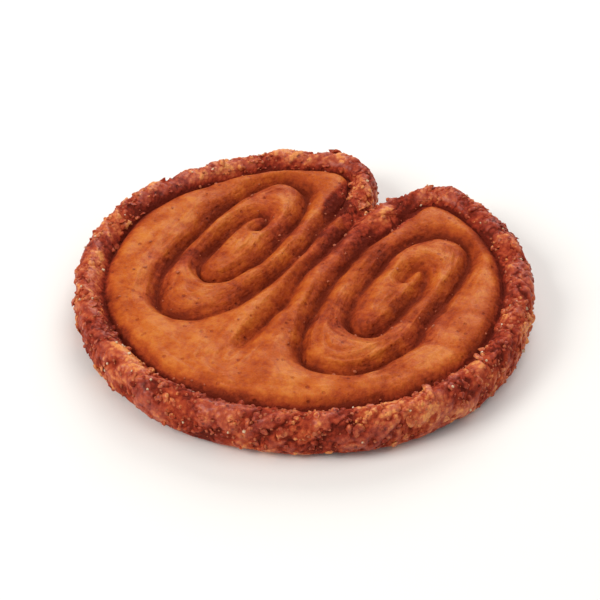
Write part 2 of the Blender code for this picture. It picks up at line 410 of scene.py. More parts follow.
@dataclass(frozen=True)
class Dough:
    """The baked form: how high the top stands over each point of the plan, and its relief."""

    plan: Plan = field(default_factory=Plan)
    thickness: float = 8.6 * MM
    middle: float = 4.3 * MM
    fullness: float = 0.85
    face_start: float = 4.3 * MM
    face_drop: float = 0.5 * MM
    bulge: float = 0.6 * MM
    bulge_reach: float = 7.0 * MM
    groove_depth: float = 2.2 * MM
    groove_soft: float = 1.5 * MM
    groove_crown: float = 2.0 * MM
    groove_uneven: Ripple = Ripple(0.22, 9.0 * MM, 74)
    groove_drift: tuple[Ripple, ...] = (
        Ripple(0.55 * MM, 6.5 * MM, 72), Ripple(0.55 * MM, 6.5 * MM, 73),
    )
    drift_reach: float = 5.0 * MM
    groove_bell: float = 0.55
    # The painted shade beside the grooves: the width of its soft band and thin line, and the
    # band's share.
    shade_band: float = 1.7 * MM
    shade_line: float = 0.55 * MM
    shade_band_share: float = 0.62
    waves: tuple[Ripple, ...] = (
        Ripple(0.5 * MM, 21.0 * MM, 41), Ripple(0.22 * MM, 7.0 * MM, 42),
    )
    crust: Crust = field(default_factory=Crust)
    underside_round: float = 3.4 * MM
    underside_groove: float = 1.3 * MM
    batch: int = 4000

    def spot(self, plan_points: Array, depth: Array) -> Spot:
        """Measure the distance from each plan point to the nearest point of a groove.

        Inside the rim the points are first shifted by noise, so that no groove runs evenly.

        Args:
            plan_points: places in the plan, one row of two each.
            depth: how far inside the edge each lies.

        Returns:
            The depths, the gaps to the nearest groove and how open that groove is.
        """
        line, opened = self.plan.grooves
        line = line.astype(np.float32)
        flat = on_plan(plan_points)
        free = smooth_step((depth - self.plan.rim_width) / self.drift_reach)[:, None]
        drift = [ripple.at(flat) for ripple in self.groove_drift]
        plan_points = plan_points + free * np.stack(drift, axis=1)
        gap = np.empty(len(plan_points))
        closest = np.empty(len(plan_points), dtype=int)
        for start in range(0, len(plan_points), self.batch):
            some = plan_points[start:start + self.batch].astype(np.float32)
            away = (some[:, None, 0] - line[None, :, 0]) ** 2
            away += (some[:, None, 1] - line[None, :, 1]) ** 2
            best = away.argmin(axis=1)
            closest[start:start + self.batch] = best
            gap[start:start + self.batch] = np.sqrt(away[np.arange(len(some)), best])
        return Spot(depth, gap, opened[closest])

    def dip(self, spot: Spot) -> Array:
        """A groove's depth: a soft bell plus the crease where two round shoulders meet.

        Args:
            spot: how far each point is from the nearest groove.

        Returns:
            The depth at each point as a share of the deepest, 0 to 1.
        """
        bell = np.exp(-(spot.gap / self.groove_soft) ** 2)
        inside = 1.0 - np.clip(spot.gap / self.groove_crown, 0.0, 1.0)
        crease = 1.0 - np.sqrt(np.clip(1.0 - inside ** 2, 0.0, 1.0))
        return spot.opened * (self.groove_bell * bell + (1.0 - self.groove_bell) * crease)

    def groove_shade(self, spot: Spot) -> Array:
        """Painted shade beside a groove: how much darker the colour is made there, a soft band
        and a thin line.

        Args:
            spot: how far each point is from the nearest groove.

        Returns:
            The painted shade at each point, 0 to 1.
        """
        band = np.exp(-(spot.gap / self.shade_band) ** 2)
        line = np.exp(-(spot.gap / self.shade_line) ** 2)
        share = self.shade_band_share
        return spot.opened * (share * band + (1.0 - share) * line)

    def top(self, plan_points: Array, spot: Spot) -> Array:
        """The top's height: level, bulging between the grooves and dipping along them.

        Args:
            plan_points: places in the plan, one row of two each.
            spot: what the plan says there.

        Returns:
            One height for each point.
        """
        flat = on_plan(plan_points)
        level = self.thickness - self.face_drop * smooth_step(
            (spot.depth - self.face_start) / self.plan.rim_width)
        level = level + self.bulge * (smooth_step(spot.gap / self.bulge_reach) - 0.5)
        for wave in self.waves:
            level = level + wave.at(flat)
        uneven = 1.0 + self.groove_uneven.at(flat)
        return level - self.groove_depth * uneven * self.dip(spot)


def closed_rows(rows: int, columns: int, first: int = 0) -> Array:
    """Join rows of points that each close on themselves.

    Args:
        rows: how many rows there are.
        columns: how many points each row has.
        first: the first point's number.

    Returns:
        The quads, as vertex numbers, row by row.
    """
    row = np.arange(rows - 1)[:, None] * columns + first
    here = np.arange(columns)[None, :]
    after = (here + 1) % columns
    quads = [row + here, row + after, row + columns + after, row + columns + here]
    return np.stack([corner.ravel() for corner in quads], axis=1)


def ladder(ring: Array, row: Array) -> tuple[Array, Array]:
    """Fill a ring up to a row of points on its middle line.

    Args:
        ring: the ring's vertex numbers, starting at one end of the line.
        row: the line's vertex numbers between its two ends.

    Returns:
        The quads and the end triangles.
    """
    half = len(ring) // 2
    line = np.concatenate([[ring[0]], row, [ring[half]]])
    back = np.concatenate([[ring[0]], ring[:half - 1:-1]])
    right = np.stack([ring[1:half - 1], ring[2:half], line[2:half], line[1:half - 1]], axis=1)
    left = np.stack([back[1:half - 1], line[1:half - 1], line[2:half], back[2:half]], axis=1)
    quads = np.concatenate([right, left])
    triangles = np.array([
        [ring[0], ring[1], line[1]], [ring[half - 1], ring[half], line[half - 1]],
        [ring[0], line[1], back[1]], [back[half - 1], line[half - 1], ring[half]],
    ])
    return quads, triangles


def slab(grid: Array, row: Array, height: Array, level: float) -> tuple[Array, list[Array]]:
    """Close a slab: a shown side that follows the heights, a wall and a level hidden side.

    Args:
        grid: the rings' places in the plan, from the edge inwards.
        row: the places on the middle line.
        height: the shown side's height at the rings' places and then the line's.
        level: the hidden side's height.

    Returns:
        The points, and the faces, which point outwards where the shown side is the upper one.
    """
    rings, around = grid.shape[:2]
    shown = np.column_stack([np.concatenate([grid.reshape(-1, 2), row]), height])
    hidden = np.concatenate([grid[0], row])
    points = np.concatenate([shown, np.column_stack([hidden, np.full(len(hidden), level)])])
    first = np.arange(around)
    wall = first + len(shown)
    side = np.stack([wall, np.roll(wall, -1), np.roll(first, -1), first], axis=1)
    line = np.arange(len(row))
    shown_quads, shown_ends = ladder(first + (rings - 1) * around, rings * around + line)
    hidden_quads, hidden_ends = ladder(wall, len(shown) + around + line)
    faces = [closed_rows(rings, around), side, shown_quads, hidden_quads[:, ::-1],
             shown_ends, hidden_ends[:, ::-1]]
    return points, faces


def make_piece(name: str, points: Array, faces: list[Array], masks: dict[str, Array],
               smooth: bool = True) -> bpy.types.Object:
    """Make a smooth mesh object from arrays, its place in its vertices.

    Args:
        name: the piece's name.
        points: the vertices, one row of three each.
        faces: arrays of vertex numbers, each of one face size.
        masks: values at the vertices, which the materials read by name.
        smooth: whether the faces are shaded as one curved surface.

    Returns:
        The new object, linked to the scene.
    """
    data = bpy.data.meshes.new(name)
    corners = np.concatenate([part.ravel() for part in faces])
    sizes = np.concatenate([np.full(len(part), part.shape[1]) for part in faces])
    data.vertices.add(len(points))
    data.vertices.foreach_set("co", points.astype(np.float32).ravel())
    data.loops.add(len(corners))
    data.loops.foreach_set("vertex_index", corners.astype(np.int32))
    data.polygons.add(len(sizes))
    starts = np.concatenate([[0], np.cumsum(sizes)[:-1]])
    data.polygons.foreach_set("loop_start", starts.astype(np.int32))
    data.update(calc_edges=True)
    data.validate()
    for mask, values in masks.items():
        layer = data.attributes.new(mask, "FLOAT", "POINT")
        layer.data.foreach_set("value", values.astype(np.float32))
    if smooth:
        data.shade_smooth()
    else:
        data.shade_flat()
    piece = bpy.data.objects.new(name, data)
    bpy.context.scene.collection.objects.link(piece)
    return piece


@dataclass
class Skin:
    """A surface in arrays, with its outward directions, for what is scattered on it."""

    points: Array
    normals: Array
    weight: Array


def point_areas(points: Array, quads: Array) -> Array:
    """Share the area out: each point has a quarter of each quad that it is a corner of.

    Args:
        points: the vertices, one row of three each.
        quads: the quads' vertex numbers.

    Returns:
        One area for each point.
    """
    corners = points[quads]
    crossed = np.cross(corners[:, 2] - corners[:, 0], corners[:, 3] - corners[:, 1])
    share = np.linalg.norm(crossed, axis=1) / 8.0
    return np.bincount(quads.ravel(), weights=np.repeat(share, 4), minlength=len(points))


def crystal_form() -> tuple[Array, Array]:
    """A sugar crystal: a cube of side 1 with cut edges.

    Returns:
        Its vertices and its triangles.
    """
    mesh = bmesh.new()
    bmesh.ops.create_cube(mesh, size=1.0)
    bmesh.ops.bevel(mesh, geom=mesh.edges[:], offset=0.14, segments=1, affect="EDGES")
    return sorted_form(*form_arrays(mesh))


def lump_form(flat: float, bend: float) -> tuple[Array, Array]:
    """A round lump, about 1 across.

    Args:
        flat: its height as a share of its width.
        bend: how far its two ends curl up.

    Returns:
        Its 42 vertices and 80 triangles.
    """
    mesh = bmesh.new()
    bmesh.ops.create_icosphere(mesh, subdivisions=2, radius=0.5)
    points, faces = form_arrays(mesh)
    points[:, 2] = points[:, 2] * flat + bend * points[:, 0] ** 2
    return points, faces


def form_arrays(mesh: bmesh.types.BMesh) -> tuple[Array, Array]:
    """Turn a small mesh into arrays, and free it.

    Args:
        mesh: the form's mesh, which is of no use afterwards.

    Returns:
        Its vertices and its triangles.
    """
    bmesh.ops.triangulate(mesh, faces=mesh.faces[:])
    mesh.verts.index_update()
    points = np.array([vertex.co[:] for vertex in mesh.verts])
    faces = np.array([[vertex.index for vertex in face.verts] for face in mesh.faces])
    mesh.free()
    return points, faces


def sorted_form(points: Array, faces: Array) -> tuple[Array, Array]:
    """Sort a form's vertices and triangles by place, since a bevel gives them in any order.

    Args:
        points: the form's vertices.
        faces: its triangles, as vertex numbers.

    Returns:
        The same vertices and triangles, in an order that is the same each run.
    """
    order = np.lexsort(np.round(points, 5).T)
    faces = np.argsort(order)[faces]
    turned = (faces.argmin(axis=1)[:, None] + np.arange(3)) % 3
    faces = np.take_along_axis(faces, turned, axis=1)
    return points[order], faces[np.lexsort(faces.T)]


@dataclass(frozen=True)
class Scatter:
    """Copies of one small form, laid on a skin at random and joined into one piece."""

    name: str
    count: int
    smallest: float
    largest: float
    lift: float
    uneven: float
    seed: int
    smooth: bool = True
    tilt: float = 0.22
    smallness: float = 1.8
    stretch: tuple[float, float] = (0.72, 1.3)
    bump_size: float = 0.33
    # The range of each copy's random tone, and how much painted shade its bumps add.
    shade: tuple[float, float] = (0.18, 0.52)
    bump_shade: float = 0.25

    def lay(self, form: tuple[Array, Array], skin: Skin) -> bpy.types.Object:
        """Lay the copies: each is stretched, made lumpy by noise, turned, tipped and lifted.

        Small ones are the commoner: a size is the smallest times a power of the ratio.

        Args:
            form: the form's vertices, about 1 across, and its triangles.
            skin: where they may lie, with the chance of each place.

        Returns:
            The joined piece.
        """
        chance = np.random.RandomState(self.seed)
        chosen = chance.choice(len(skin.points), self.count, replace=False,
                               p=skin.weight / skin.weight.sum())
        tipped = unit(skin.normals[chosen] + chance.normal(0.0, self.tilt, (self.count, 3)))
        helper = np.where(np.abs(tipped[:, :1]) < 0.7, [[1.0, 0.0, 0.0]], [[0.0, 1.0, 0.0]])
        side = unit(np.cross(tipped, helper))
        front = np.cross(tipped, side)
        turn = chance.uniform(0.0, 2.0 * np.pi, (self.count, 1))
        first = side * np.cos(turn) + front * np.sin(turn)
        second = front * np.cos(turn) - side * np.sin(turn)
        frames = np.stack([first, second, tipped], axis=2)
        share = chance.uniform(0.0, 1.0, self.count) ** self.smallness
        size = self.smallest * (self.largest / self.smallest) ** share
        points, faces = form
        scale = size[:, None] * chance.uniform(*self.stretch, (self.count, 3))
        local = points[None] * scale[:, None]
        spread = (points[None] + 9.0 * np.arange(self.count)[:, None, None]).reshape(-1, 3)
        bumps = soft_noise(spread, self.bump_size, self.seed).reshape(self.count, -1, 1)
        local = local * (1.0 + self.uneven * bumps)
        placed = np.einsum("nij,nvj->nvi", frames, local) + skin.points[chosen][:, None]
        placed = placed + (tipped * (self.lift * size)[:, None])[:, None]
        numbers = faces[None] + (np.arange(self.count) * len(points))[:, None, None]
        # Each copy's own random tone, with painted shade: its raised bumps are lighter and its
        # sunk ones darker.
        shade = np.repeat(chance.uniform(*self.shade, self.count), len(points))
        shade = np.clip(shade - self.bump_shade * bumps.ravel(), 0.0, 1.0)
        count = self.count * len(points)
        masks = {"rim": np.ones(count), "shade_and_tone": shade, "crease": np.zeros(count),
                 "gap": np.zeros(count), "core": np.zeros(count)}
        placed = placed.reshape(-1, 3)
        placed[:, 2] = np.maximum(placed[:, 2], FLOOR_GAP)
        return make_piece(self.name, placed, [numbers.reshape(-1, 3)], masks, self.smooth)


@dataclass
class Rim:
    """The rope-like band round the edge: a closed tube whose section follows the plan's edge."""

    dough: Dough
    around: int = 1150
    over: int = 46
    under: int = 22
    inner_rows: tuple[float, ...] = (1.0, 0.7, 0.35)
    floor_rows: int = 7
    floor_tuck: float = -0.6
    tuck: float = 1.0 * MM
    tuck_drop: float = 0.7 * MM
    streak_turn: float = 4.0 * MM
    # Where the painted groove shade starts on the rim's section.
    streak_end: Fade = Fade(0.7, 0.25)
    groove_shade_start: Fade = Fade(1.9, 0.9)
    low_calm: float = 0.6
    low_push: float = -0.4
    sugared_turn: tuple[float, float] = (-0.55, 2.6)

    def section(self) -> tuple[Array, Array, Array]:
        """The section's points, from the groove over the crest to the edge and then below.

        Returns:
            For each point its depth inside the edge, its turn round the section, which is pi
            in the groove and 0 at the edge, and -pi / 2 below, and how far it is tucked in.
        """
        width, low = self.dough.plan.rim_width, self.dough.underside_round
        inner, floor = len(self.inner_rows), self.floor_rows
        turn = np.concatenate([
            np.full(inner, np.pi), np.linspace(np.pi, 0.0, self.over),
            np.linspace(0.0, -np.pi / 2, self.under)[1:], np.full(floor, -np.pi / 2),
        ])
        tucked = np.zeros(len(turn))
        tucked[:inner] = self.inner_rows
        reach = np.where(turn >= 0.0, width / 2, low)
        depth = reach * (1.0 - np.cos(turn))
        depth[:inner] = width + self.tuck * tucked[:inner]
        depth[-floor:] = low + (width - low) * np.linspace(0.2, 1.3, floor)
        tucked[-1] = self.floor_tuck
        return depth, turn, tucked

    def build(self) -> tuple[bpy.types.Object, Skin]:
        """Build the tube: the section at each step round the edge, pushed out by the crust.

        Over the edge the height follows the sine of the turn, and below it the edge rounds in.

        Returns:
            The piece, and its surface above the edge for what lies on it.
        """
        plan, dough = self.dough.plan, self.dough
        angle = plan.angles(self.around)
        depth, turn, tucked = self.section()
        columns, rows = len(angle), len(turn)
        edge, inward = plan.outline(angle), plan.inward(angle)
        flat = edge[None] + depth[:, None, None] * inward[None]
        depths = np.broadcast_to(depth[:, None], (rows, columns)).ravel()
        places = flat.reshape(-1, 2)
        spot = dough.spot(places, depths)
        over = np.repeat(turn, columns)
        full = np.sin(np.clip(np.abs(over), 0.0, np.pi / 2)) ** dough.fullness
        upper = dough.middle + (dough.top(places, spot) - dough.middle) * full
        lower = dough.middle * (1.0 - full)
        height = np.where(over >= 0.0, upper, lower)
        height -= np.repeat(tucked, columns) * self.tuck_drop
        points = np.column_stack([places, height])
        steps = np.linalg.norm(edge - np.roll(edge, 1, axis=0), axis=1)
        along = np.tile(np.cumsum(steps), rows)
        streaked = 1.0 - self.streak_end.at(over / np.pi)
        rise, shade_and_tone = dough.crust.at(points, along, self.streak_turn * over, streaked)
        side = np.cos(np.clip(over, -np.pi / 2, np.pi / 2))
        steep = np.sin(over) ** 2
        out = np.column_stack([
            -np.tile(inward, (rows, 1)) * side[:, None],
            np.where(over >= 0.0, np.sin(over), self.low_push * steep),
        ])
        rise = np.where(over < 0.0, rise * (1.0 - self.low_calm * steep), rise)
        points = points + out * rise[:, None]
        points[:, 2] = np.maximum(points[:, 2], FLOOR_GAP)
        faces = closed_rows(rows, columns)
        last = (rows - 1) * columns + np.arange(columns)
        first = np.arange(columns)
        wall = np.stack([last, np.roll(last, -1), np.roll(first, -1), first], axis=1)
        masks = {
            "rim": np.ones(len(points)),
            "shade_and_tone": shade_and_tone,
            # Painted shade in the groove on the rim's inner side, which darkens the colour there.
            "crease": dough.groove_shade(spot) * self.groove_shade_start.at(over),
            "gap": spot.gap,
            "core": np.zeros(len(points)),
        }
        points[:, :2] -= plan.middle
        piece = make_piece("crust_rim", points, [faces, wall], masks)
        shown = (over > self.sugared_turn[0]) & (over < self.sugared_turn[1])
        weight = point_areas(points, faces)[shown] * (0.3 + shade_and_tone[shown])
        return piece, Skin(points[shown], unit(out[shown]), weight)


def unit(rows: Array) -> Array:
    """Return each row at length one."""
    return rows / np.maximum(np.linalg.norm(rows, axis=1), 1e-12)[:, None]


@dataclass
class Relief:
    """A face's fine relief, its painted shade, and how crusted and how layered each place is, 0
    to 1.
    """

    rise: Array
    shade_and_tone: Array
    crusted: Array
    core: Array

    def masks(self, dough: Dough, spot: Spot, extra: int) -> dict[str, Array]:
        """Gather the masks that the material reads.

        Args:
            dough: the baked form.
            spot: what the plan says at each shown point.
            extra: how many hidden points follow, where each mask is 0.

        Returns:
            The masks by name, one value for each of the piece's points.
        """
        shown = {
            "rim": self.crusted,
            "shade_and_tone": self.shade_and_tone,
            # Painted shade beside the grooves.
            "crease": dough.groove_shade(spot),
            "gap": spot.gap,
            "core": self.core,
        }
        return {name: np.concatenate([mask, np.zeros(extra)]) for name, mask in shown.items()}


@dataclass
class Face:
    """The top inside the rim: rings from the rim's groove in to the seam.

    The relief's strengths and heights are in millimetres.
    """

    dough: Dough
    around: int = 620
    rings: int = 148
    tuck: float = 1.0 * MM
    tuck_drop: float = 0.9 * MM
    bare_rings: int = 4
    core_edge: Fade = Fade(15.0 * MM, -6.0 * MM)
    core_slim: float = 0.66
    seam_band: float = 5.4 * MM
    cleft_band: float = 3.6 * MM
    cleft_rise: Fade = Fade(11.0 * MM, 10.0 * MM)
    band_edge: float = 1.4 * MM
    up_seam: Fade = Fade(-9.0 * MM, 30.0 * MM)
    torn: Ripple = Ripple(1.1, 3.1 * MM, 53)
    torn_share: float = 0.75
    cleft_crust: Fade = Fade(13.0 * MM, 8.0 * MM)
    rim_line: float = 5.6 * MM
    rim_line_width: float = 1.3 * MM
    rim_line_share: float = 0.55
    rim_join: float = 2.2 * MM
    rim_fade: float = 1.3 * MM
    scattered: Ripple = Ripple(1.6, 5.2 * MM, 58)
    scattered_loss: float = 0.15
    scattered_share: float = 0.45
    layer_stretch: float = 7.0
    layers: Ripple = Ripple(1.0, 4.4 * MM, 52)
    layer_height: float = 0.04
    core_layers: float = 0.20
    seam_layers: float = 0.10
    dents: tuple[Ripple, ...] = (Ripple(0.13, 2.6 * MM, 54), Ripple(0.06, 1.1 * MM, 55))
    bubbles: Grains = Grains(4.6 * MM, 59)
    bubble_height: float = 0.10
    core_bubbles: float = 0.12
    # The base level of the face's painted shade.
    shade: float = 0.42

    def places(self) -> tuple[Array, Array, Array, Spot]:
        """The plan's points: lines from the rim to the seam, crossed by rings.

        Returns:
            The ring points, the row of points on the seam, both in one list, and what the plan
            says at each.
        """
        plan = self.dough.plan
        angle = plan.angles(self.around)
        share = np.linspace(0.0, 1.0, self.rings + 1)[:-1]
        start = plan.outline(angle) + plan.rim_width * plan.inward(angle)
        target = plan.seam_target(angle)
        grid = start[None] * (1.0 - share[:, None, None]) + target[None] * share[:, None, None]
        outer = start - self.tuck * plan.inward(angle)
        depth = plan.rim_width + share[:, None] * np.linalg.norm(start - target, axis=1)[None]
        grid = np.concatenate([outer[None], grid])
        row = plan.seam_target(angle[1:self.around // 2])
        places = np.concatenate([grid.reshape(-1, 2), row])
        depths = np.concatenate([
            np.full(self.around, plan.rim_width - self.tuck), depth.ravel(),
            np.full(len(row), plan.width / 2),
        ])
        return grid, row, places, self.dough.spot(places, depths)

    def relief(self, places: Array, spot: Spot, height: Array) -> Relief:
        """The face's fine relief: smooth near the rim, crusted by the seam, layered in the cores.

        Args:
            places: the plan's points.
            spot: their distances to the edge and the grooves.
            height: how high the smooth face stands there.

        Returns:
            The relief, with masks for the crusted places and the layered cores.
        """
        dough, flat, up = self.dough, on_plan(places), places[:, 1]
        off_eye = (np.abs(places) - np.array(dough.plan.eye)) * np.array([1.0, self.core_slim])
        core = self.core_edge.at(np.linalg.norm(off_eye, axis=1))
        band = self.seam_band + self.cleft_band * self.cleft_rise.at(up)
        beside = smooth_step((band - np.abs(places[:, 0])) / self.band_edge)
        by_cleft = beside * self.up_seam.at(up)
        torn = smooth_step(self.torn_share + self.torn.at(flat))
        torn = np.maximum(torn, beside * self.cleft_crust.at(up))
        near_rim = np.exp(-((spot.depth - self.rim_line) / self.rim_line_width) ** 2)
        at_rim = np.exp(-((spot.depth - dough.plan.rim_width) / self.rim_join) ** 2)
        inside = smooth_step((spot.depth - dough.plan.rim_width) / self.rim_fade)
        scattered = smooth_step(self.scattered.at(flat) - self.scattered_loss)
        crusted = np.maximum(by_cleft * np.maximum(torn, at_rim),
                             self.scattered_share * scattered * core)
        crusted = np.maximum(crusted, self.rim_line_share * near_rim * torn)
        crusted = np.clip(crusted, 0.0, 1.0)
        dents = sum(ripple.at(flat) for ripple in self.dents)
        bubbles = self.bubbles.at(flat) ** 2
        layered = self.layer_height + self.core_layers * core + self.seam_layers * beside
        layered = layered * self.layers.at(
            np.column_stack([spot.gap * self.layer_stretch, places]))
        crust, crust_shade = dough.crust.at(
            np.column_stack([places, height]), up, places[:, 0], 0.0)
        blown = (self.bubble_height + self.core_bubbles * core) * bubbles
        rise = (dents + blown + layered) * inside * MM
        rise = rise + crusted * np.maximum(inside, by_cleft) * (0.8 + 0.2 * at_rim) * crust
        crusted = np.maximum(crusted, 1.0 - inside)
        # Painted shade and highlight: the colour is darker where the relief sinks and lighter
        # where dents, bubbles and layers rise, and takes the crust's painted shade where crusted.
        shade_and_tone = self.shade - 0.9 * dents - 0.30 * (bubbles - 0.3) - 0.5 * layered
        shade_and_tone = shade_and_tone + crusted * (crust_shade - shade_and_tone)
        return Relief(rise, np.clip(shade_and_tone, 0.0, 1.0), crusted, core)

    def build(self) -> tuple[bpy.types.Object, Skin]:
        """Build the face as a closed slab: the top's height plus the relief, and a level back.

        Returns:
            The piece, and its surface for what lies on it.
        """
        dough = self.dough
        grid, row, places, spot = self.places()
        height = dough.top(places, spot)
        relief = self.relief(places, spot, height)
        height = height + relief.rise
        height[:self.around] -= self.tuck_drop
        points, faces = slab(grid, row, height, dough.middle)
        masks = relief.masks(dough, spot, len(points) - len(places))
        points[:, :2] -= dough.plan.middle
        piece = make_piece("caramel_face", points, faces, masks)
        shown = np.arange(self.around * self.bare_rings, len(places))
        up = np.tile([0.0, 0.0, 1.0], (len(shown), 1))
        weight = point_areas(points, faces[0])[shown] * (0.05 + relief.crusted[shown])
        return piece, Skin(points[shown], up, weight)


@dataclass
class Underside:
    """The side it lies on: flat bands with the same grooves pressed into it, but shallower."""

    dough: Dough
    around: int = 480
    rings: int = 110
    stand: float = 0.12 * MM
    tuck_rise: float = 0.8 * MM
    overlap: float = 0.3 * MM
    browned_edge: float = 7.0 * MM

    def build(self) -> bpy.types.Object:
        """Build the underside as a closed slab up to the pastry's middle.

        Returns:
            The piece.
        """
        dough = self.dough
        face = Face(dough, around=self.around, rings=self.rings)
        grid, row, places, spot = face.places()
        height = dough.underside_groove * dough.dip(spot)
        relief = face.relief(places, spot, height)
        height = height + np.clip(self.stand - relief.rise, 0.0, None)
        height[:self.around] += self.tuck_rise
        points, faces = slab(grid, row, height, dough.middle - self.overlap)
        browned = 1.0 - smooth_step((spot.depth - dough.plan.rim_width) / self.browned_edge)
        relief.crusted = np.maximum(relief.crusted, browned)
        masks = relief.masks(dough, spot, len(points) - len(places))
        points[:, :2] -= dough.plan.middle
        return make_piece("pale_underside", points, [part[:, ::-1] for part in faces], masks)


class Nodes:
    """A node tree under making: adds nodes and links them in one call."""

    def __init__(self, tree: bpy.types.NodeTree) -> None:
        """Keep the tree."""
        self.tree = tree

    def add(self, kind: str, settings: dict | None = None, **inputs: object) -> bpy.types.Node:
        """Add a node.

        Args:
            kind: the node's type.
            settings: the node's own properties.
            **inputs: socket names, with _ for a space, and a value or a socket for each.

        Returns:
            The new node.
        """
        node = self.tree.nodes.new(kind)
        for name, value in (settings or {}).items():
            setattr(node, name, value)
        for name, value in inputs.items():
            self.feed(node.inputs[name.replace("_", " ")], value)
        return node

    def feed(self, socket: bpy.types.NodeSocket, value: object) -> None:
        """Link a socket to the input, or set the input to the value.

        Args:
            socket: the input.
            value: another node's output, or a plain value.
        """
        if isinstance(value, bpy.types.NodeSocket):
            self.tree.links.new(value, socket)
        else:
            socket.default_value = value

    def maths(self, operation: str, first: object, second: object = 0.0,
              clamp: bool = False) -> bpy.types.NodeSocket:
        """Place a Math node.

        Args:
            operation: the node's operation.
            first: an output or a number.
            second: the same.
            clamp: whether the result is held between 0 and 1.

        Returns:
            The node's result.
        """
        node = self.tree.nodes.new("ShaderNodeMath")
        node.operation = operation
        node.use_clamp = clamp
        self.feed(node.inputs[0], first)
        self.feed(node.inputs[1], second)
        return node.outputs[0]

    def mix(self, share: object, first: object, second: object) -> bpy.types.NodeSocket:
        """Mix two colours, which are inputs 6 and 7 of a Mix node.

        Args:
            share: the second colour's share.
            first: a colour or an output.
            second: the same.

        Returns:
            The mixed colour.
        """
        node = self.tree.nodes.new("ShaderNodeMix")
        node.data_type = "RGBA"
        for place, value in ((0, share), (6, first), (7, second)):
            self.feed(node.inputs[place], value)
        return node.outputs[2]

    def ramp(self, value: object, stops: Stops) -> bpy.types.NodeSocket:
        """Read a colour from a ramp.

        Args:
            value: where the ramp is read, 0 to 1.
            stops: the ramp's stops, each a place from 0 to 1 and a display colour.

        Returns:
            The colour there.
        """
        node = self.tree.nodes.new("ShaderNodeValToRGB")
        self.feed(node.inputs[0], value)
        elements = node.color_ramp.elements
        while len(elements) < len(stops):
            elements.new(0.5)
        for element, (place, colour) in zip(elements, stops):
            element.position = place
            element.color = srgb(*colour)
        return node.outputs[0]

    def span(self, value: object, low: float, high: float, to_low: float = 0.0,
             to_high: float = 1.0) -> bpy.types.NodeSocket:
        """Move a value from one range to another along an S curve, held within it.

        Args:
            value: the output to read.
            low: the first range's start.
            high: the first range's end.
            to_low: the second range's start.
            to_high: the second range's end.

        Returns:
            The moved value.
        """
        node = self.tree.nodes.new("ShaderNodeMapRange")
        node.interpolation_type = "SMOOTHSTEP"
        self.feed(node.inputs[0], value)
        for place, number in enumerate((low, high, to_low, to_high), start=1):
            node.inputs[place].default_value = number
        return node.outputs[0]


def srgb(red: int, green: int, blue: int) -> tuple[float, float, float, float]:
    """Undo the display curve: a line near black, and a power of 2.4 above it.

    Args:
        red: the display value of red, 0 to 255.
        green: that of green.
        blue: that of blue.

    Returns:
        The linear colour that a shader takes.
    """
    line = [value / 255.0 for value in (red, green, blue)]
    out = [v / 12.92 if v <= 0.04045 else ((v + 0.055) / 1.055) ** 2.4 for v in line]
    return (out[0], out[1], out[2], 1.0)


def new_group(name: str, inputs: dict[str, str], outputs: dict[str, str]) -> Nodes:
    """Start a node group.

    Args:
        name: the group's name.
        inputs: the input sockets' types, Float or Vector, by name.
        outputs: the output sockets' types by name.

    Returns:
        The group's nodes.
    """
    tree = bpy.data.node_groups.new(name, "ShaderNodeTree")
    for way, sockets in (("INPUT", inputs), ("OUTPUT", outputs)):
        for socket, kind in sockets.items():
            tree.interface.new_socket(socket, in_out=way, socket_type="NodeSocket" + kind)
    return Nodes(tree)


def new_material(name: str) -> tuple[bpy.types.Material, Nodes, bpy.types.Node]:
    """Start a material.

    Args:
        name: the material's name.

    Returns:
        The material, its nodes and its shader.
    """
    material = bpy.data.materials.new(name)
    material.use_nodes = True
    return material, Nodes(material.node_tree), material.node_tree.nodes["Principled BSDF"]


def mottle_group() -> bpy.types.NodeTree:
    """The uneven browning that every baked part shows: broad patches and small specks.

    Returns:
        A group with a Scale input, and Patches and Specks outputs from 0 to 1.
    """
    nodes = new_group("uneven_browning", {"Scale": "Float"},
                      {"Patches": "Float", "Specks": "Float"})
    given = nodes.add("NodeGroupInput").outputs["Scale"]
    place = nodes.add("ShaderNodeTexCoord").outputs["Object"]
    broad = nodes.add("ShaderNodeTexNoise", {}, Vector=place, Detail=3.0, Roughness=0.55,
                      Scale=nodes.maths("MULTIPLY", given, 110.0))
    small = nodes.add("ShaderNodeTexNoise", {}, Vector=place, Detail=4.0, Roughness=0.65,
                      Scale=nodes.maths("MULTIPLY", given, 900.0))
    result = nodes.add("NodeGroupOutput")
    nodes.feed(result.inputs["Patches"], nodes.span(broad.outputs[0], 0.36, 0.66))
    nodes.feed(result.inputs["Specks"], nodes.span(small.outputs[0], 0.38, 0.68))
    return nodes.tree


